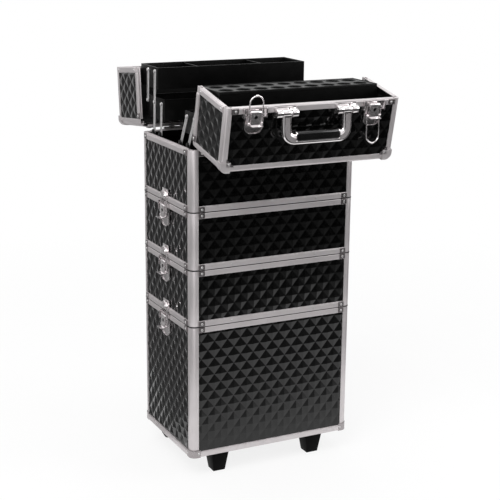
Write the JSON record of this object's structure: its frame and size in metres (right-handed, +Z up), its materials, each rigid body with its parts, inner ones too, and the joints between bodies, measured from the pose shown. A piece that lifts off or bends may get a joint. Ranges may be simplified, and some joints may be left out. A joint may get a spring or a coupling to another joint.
{
  "type": "rolling makeup case",
  "caption": "Rolling makeup case of stacked black boxes in aluminium frames, with a split lid on rear and front hinges, cantilever trays, draw latches, feet, wheels and a pull handle.",
  "frame": {"origin": "on the floor, under the middle of the open case's box", "axes": "+Z up, -Y to the front where the lid with the carry handle hangs, +X to the right of someone facing the front"},
  "size_m": [0.384, 0.5529, 0.7868],
  "materials": {
    "panel": "embossed black sheet on board",
    "frame": "satin anodised",
    "bracket": "nickel plated",
    "chrome": "bright plated",
    "hinge": "plated sheet",
    "grip": "smooth black",
    "tray": "smooth black",
    "holder": "satin dark grey",
    "arm": "plated strip",
    "tray_bracket": "black paint",
    "foot": "moulded black",
    "wheel": "moulded black",
    "pull_tube": "satin"
  },
  "bodies": {
    "stack": {"bottom_case_panels": "panel", "lower_middle_panels": "panel", "upper_middle_panels": "panel", "top_case_panels": "panel", "bottom_case_frame": "frame", "lower_middle_frame": "frame", "upper_middle_frame": "frame", "top_case_frame": "frame", "corner_brackets": "bracket", "side_latch_bases": "chrome", "side_latch_strikes": "chrome", "lid_hinge_case_leaves": "hinge", "tray_brackets": "tray_bracket", "front_feet": "foot", "wheel_brackets": "foot", "trolley_rails": "pull_tube"},
    "left_wheel": {"left_wheel": "wheel"},
    "right_wheel": {"right_wheel": "wheel"},
    "trolley": {"trolley_tubes": "pull_tube", "trolley_grip": "foot"},
    "front_lid": {"front_lid_panels": "panel", "front_lid_frame": "frame", "front_lid_hinge_leaves": "hinge", "lid_latch_bases": "chrome", "handle_brackets": "chrome"},
    "carry_handle": {"carry_handle": "chrome", "carry_grip": "grip"},
    "rear_lid": {"rear_lid_panels": "panel", "rear_lid_frame": "frame", "rear_lid_hinge_leaves": "hinge", "lid_latch_strikes": "chrome"},
    "front_lower_tray": {"front_lower_tray": "tray"},
    "front_upper_tray": {"front_upper_tray": "tray", "bottle_holder": "holder"},
    "rear_lower_tray": {"rear_lower_tray": "tray"},
    "rear_upper_tray": {"rear_upper_tray": "tray"},
    "left_lid_latch_lever": {"left_lid_latch_lever": "chrome", "left_lid_bail_pin": "chrome"},
    "left_lid_bail": {"left_lid_bail": "chrome"},
    "left_top_lever": {"left_top_lever": "chrome"},
    "left_top_bail": {"left_top_bail": "chrome"},
    "left_middle_lever": {"left_middle_lever": "chrome"},
    "left_middle_bail": {"left_middle_bail": "chrome"},
    "left_bottom_lever": {"left_bottom_lever": "chrome"},
    "left_bottom_bail": {"left_bottom_bail": "chrome"},
    "right_lid_latch_lever": {"right_lid_latch_lever": "chrome", "right_lid_bail_pin": "chrome"},
    "right_lid_bail": {"right_lid_bail": "chrome"},
    "right_top_lever": {"right_top_lever": "chrome"},
    "right_top_bail": {"right_top_bail": "chrome"},
    "right_middle_lever": {"right_middle_lever": "chrome"},
    "right_middle_bail": {"right_middle_bail": "chrome"},
    "right_bottom_lever": {"right_bottom_lever": "chrome"},
    "right_bottom_bail": {"right_bottom_bail": "chrome"},
    "front_long_arms": {"front_long_arms": "arm"},
    "front_short_arms": {"front_short_arms": "arm"},
    "front_upper_arms": {"front_upper_arms": "arm"},
    "rear_long_arms": {"rear_long_arms": "arm"},
    "rear_short_arms": {"rear_short_arms": "arm"},
    "rear_upper_arms": {"rear_upper_arms": "arm"}
  },
  "joints": [
    {"name": "front_lid_hinge", "type": "hinge", "parent": "stack", "child": "front_lid", "pos_m": [0, -0.1185, 0.6563], "axis": [1, 0, 0], "range_deg": [-102, 0]},
    {"name": "rear_lid_hinge", "type": "hinge", "parent": "stack", "child": "rear_lid", "pos_m": [0, 0.1345, 0.6563], "axis": [-1, 0, 0], "range_deg": [-96, 0]},
    {"name": "front_long_arms_pivot", "type": "hinge", "parent": "stack", "child": "front_long_arms", "pos_m": [0, -0.0765, 0.659], "axis": [1, 0, 0], "range_deg": [-62.71, 0]},
    {"name": "front_short_arms_pivot", "type": "hinge", "parent": "stack", "child": "front_short_arms", "pos_m": [0, -0.0415, 0.659], "axis": [1, 0, 0], "range_deg": [-62.71, 0]},
    {"name": "front_lower_tray_pivot", "type": "hinge", "parent": "front_long_arms", "child": "front_lower_tray", "pos_m": [0, -0.10374, 0.71246], "axis": [1, 0, 0], "range_deg": [0, 62.71]},
    {"name": "front_upper_tray_pivot", "type": "hinge", "parent": "front_long_arms", "child": "front_upper_tray", "pos_m": [0, -0.13098, 0.76592], "axis": [1, 0, 0], "range_deg": [0, 62.71]},
    {"name": "front_upper_arms_pivot", "type": "hinge", "parent": "front_lower_tray", "child": "front_upper_arms", "pos_m": [0, -0.13874, 0.71246], "axis": [1, 0, 0], "range_deg": [-62.71, 0]},
    {"name": "rear_long_arms_pivot", "type": "hinge", "parent": "stack", "child": "rear_long_arms", "pos_m": [0, 0.0925, 0.659], "axis": [-1, 0, 0], "range_deg": [-32.71, 0]},
    {"name": "rear_short_arms_pivot", "type": "hinge", "parent": "stack", "child": "rear_short_arms", "pos_m": [0, 0.0575, 0.659], "axis": [-1, 0, 0], "range_deg": [-32.71, 0]},
    {"name": "rear_lower_tray_pivot", "type": "hinge", "parent": "rear_long_arms", "child": "rear_lower_tray", "pos_m": [0, 0.08936, 0.71892], "axis": [-1, 0, 0], "range_deg": [0, 32.71]},
    {"name": "rear_upper_tray_pivot", "type": "hinge", "parent": "rear_long_arms", "child": "rear_upper_tray", "pos_m": [0, 0.08622, 0.77884], "axis": [-1, 0, 0], "range_deg": [0, 32.71]},
    {"name": "rear_upper_arms_pivot", "type": "hinge", "parent": "rear_lower_tray", "child": "rear_upper_arms", "pos_m": [0, 0.12436, 0.71892], "axis": [-1, 0, 0], "range_deg": [-32.71, 0]},
    {"name": "left_lid_lever_pivot", "type": "hinge", "parent": "front_lid", "child": "left_lid_latch_lever", "pos_m": [-0.12, -0.26686, 0.74489], "axis": [-1, 0, 0], "range_deg": [0, 90]},
    {"name": "left_lid_bail_pivot", "type": "hinge", "parent": "left_lid_latch_lever", "child": "left_lid_bail", "pos_m": [-0.12, -0.2627, 0.72533], "axis": [-1, 0, 0], "range_deg": [-117, 0]},
    {"name": "right_lid_lever_pivot", "type": "hinge", "parent": "front_lid", "child": "right_lid_latch_lever", "pos_m": [0.12, -0.26686, 0.74489], "axis": [-1, 0, 0], "range_deg": [0, 90]},
    {"name": "right_lid_bail_swing", "type": "hinge", "parent": "right_lid_latch_lever", "child": "right_lid_bail", "pos_m": [0.12, -0.2627, 0.72533], "axis": [1, 0, 0], "range_deg": [-168, 0]},
    {"name": "carry_handle_swing", "type": "hinge", "parent": "front_lid", "child": "carry_handle", "pos_m": [0, -0.26956, 0.74074], "axis": [-1, 0, 0], "range_deg": [-5, 95]},
    {"name": "left_top_lever_pivot", "type": "hinge", "parent": "stack", "child": "left_top_lever", "pos_m": [-0.18, 0.008, 0.529], "axis": [0, 1, 0], "range_deg": [0, 90]},
    {"name": "left_top_bail_pivot", "type": "hinge", "parent": "left_top_lever", "child": "left_top_bail", "pos_m": [-0.18, 0.008, 0.509], "axis": [0, 1, 0], "range_deg": [-117, 0]},
    {"name": "left_middle_lever_pivot", "type": "hinge", "parent": "stack", "child": "left_middle_lever", "pos_m": [-0.18, 0.008, 0.417], "axis": [0, 1, 0], "range_deg": [0, 90]},
    {"name": "left_middle_bail_pivot", "type": "hinge", "parent": "left_middle_lever", "child": "left_middle_bail", "pos_m": [-0.18, 0.008, 0.397], "axis": [0, 1, 0], "range_deg": [-117, 0]},
    {"name": "left_bottom_lever_pivot", "type": "hinge", "parent": "stack", "child": "left_bottom_lever", "pos_m": [-0.18, 0.008, 0.305], "axis": [0, 1, 0], "range_deg": [0, 90]},
    {"name": "left_bottom_bail_pivot", "type": "hinge", "parent": "left_bottom_lever", "child": "left_bottom_bail", "pos_m": [-0.18, 0.008, 0.285], "axis": [0, 1, 0], "range_deg": [-117, 0]},
    {"name": "right_top_lever_pivot", "type": "hinge", "parent": "stack", "child": "right_top_lever", "pos_m": [0.18, 0.008, 0.529], "axis": [0, -1, 0], "range_deg": [0, 90]},
    {"name": "right_top_bail_pivot", "type": "hinge", "parent": "right_top_lever", "child": "right_top_bail", "pos_m": [0.18, 0.008, 0.509], "axis": [0, -1, 0], "range_deg": [-117, 0]},
    {"name": "right_middle_lever_pivot", "type": "hinge", "parent": "stack", "child": "right_middle_lever", "pos_m": [0.18, 0.008, 0.417], "axis": [0, -1, 0], "range_deg": [0, 90]},
    {"name": "right_middle_bail_pivot", "type": "hinge", "parent": "right_middle_lever", "child": "right_middle_bail", "pos_m": [0.18, 0.008, 0.397], "axis": [0, -1, 0], "range_deg": [-117, 0]},
    {"name": "right_bottom_lever_pivot", "type": "hinge", "parent": "stack", "child": "right_bottom_lever", "pos_m": [0.18, 0.008, 0.305], "axis": [0, -1, 0], "range_deg": [0, 90]},
    {"name": "right_bottom_bail_pivot", "type": "hinge", "parent": "right_bottom_lever", "child": "right_bottom_bail", "pos_m": [0.18, 0.008, 0.285], "axis": [0, -1, 0], "range_deg": [-117, 0]},
    {"name": "left_wheel_axle", "type": "hinge", "parent": "stack", "child": "left_wheel", "pos_m": [-0.131, 0.106, 0.021], "axis": [1, 0, 0], "continuous": true},
    {"name": "right_wheel_axle", "type": "hinge", "parent": "stack", "child": "right_wheel", "pos_m": [0.131, 0.106, 0.021], "axis": [1, 0, 0], "continuous": true},
    {"name": "trolley_slide", "type": "slide", "parent": "stack", "child": "trolley", "axis": [0, 0, 1], "range_m": [0, 0.22]}
  ],
  "couplings": [
    {"joint": "front_long_arms_pivot", "follows": "front_lid_hinge", "ratio": 0.61456},
    {"joint": "front_short_arms_pivot", "follows": "front_lid_hinge", "ratio": 0.61456},
    {"joint": "front_lower_tray_pivot", "follows": "front_lid_hinge", "ratio": -0.61456},
    {"joint": "front_upper_tray_pivot", "follows": "front_lid_hinge", "ratio": -0.61456},
    {"joint": "front_upper_arms_pivot", "follows": "front_lid_hinge", "ratio": 0.61456},
    {"joint": "rear_long_arms_pivot", "follows": "rear_lid_hinge", "ratio": 0.34047},
    {"joint": "rear_short_arms_pivot", "follows": "rear_lid_hinge", "ratio": 0.34047},
    {"joint": "rear_lower_tray_pivot", "follows": "rear_lid_hinge", "ratio": -0.34047},
    {"joint": "rear_upper_tray_pivot", "follows": "rear_lid_hinge", "ratio": -0.34047},
    {"joint": "rear_upper_arms_pivot", "follows": "rear_lid_hinge", "ratio": 0.34047},
    {"joint": "left_lid_bail_pivot", "follows": "left_lid_lever_pivot", "ratio": -1.3},
    {"joint": "left_top_bail_pivot", "follows": "left_top_lever_pivot", "ratio": -1.3},
    {"joint": "left_middle_bail_pivot", "follows": "left_middle_lever_pivot", "ratio": -1.3},
    {"joint": "left_bottom_bail_pivot", "follows": "left_bottom_lever_pivot", "ratio": -1.3},
    {"joint": "right_top_bail_pivot", "follows": "right_top_lever_pivot", "ratio": -1.3},
    {"joint": "right_middle_bail_pivot", "follows": "right_middle_lever_pivot", "ratio": -1.3},
    {"joint": "right_bottom_bail_pivot", "follows": "right_bottom_lever_pivot", "ratio": -1.3}
  ]
}
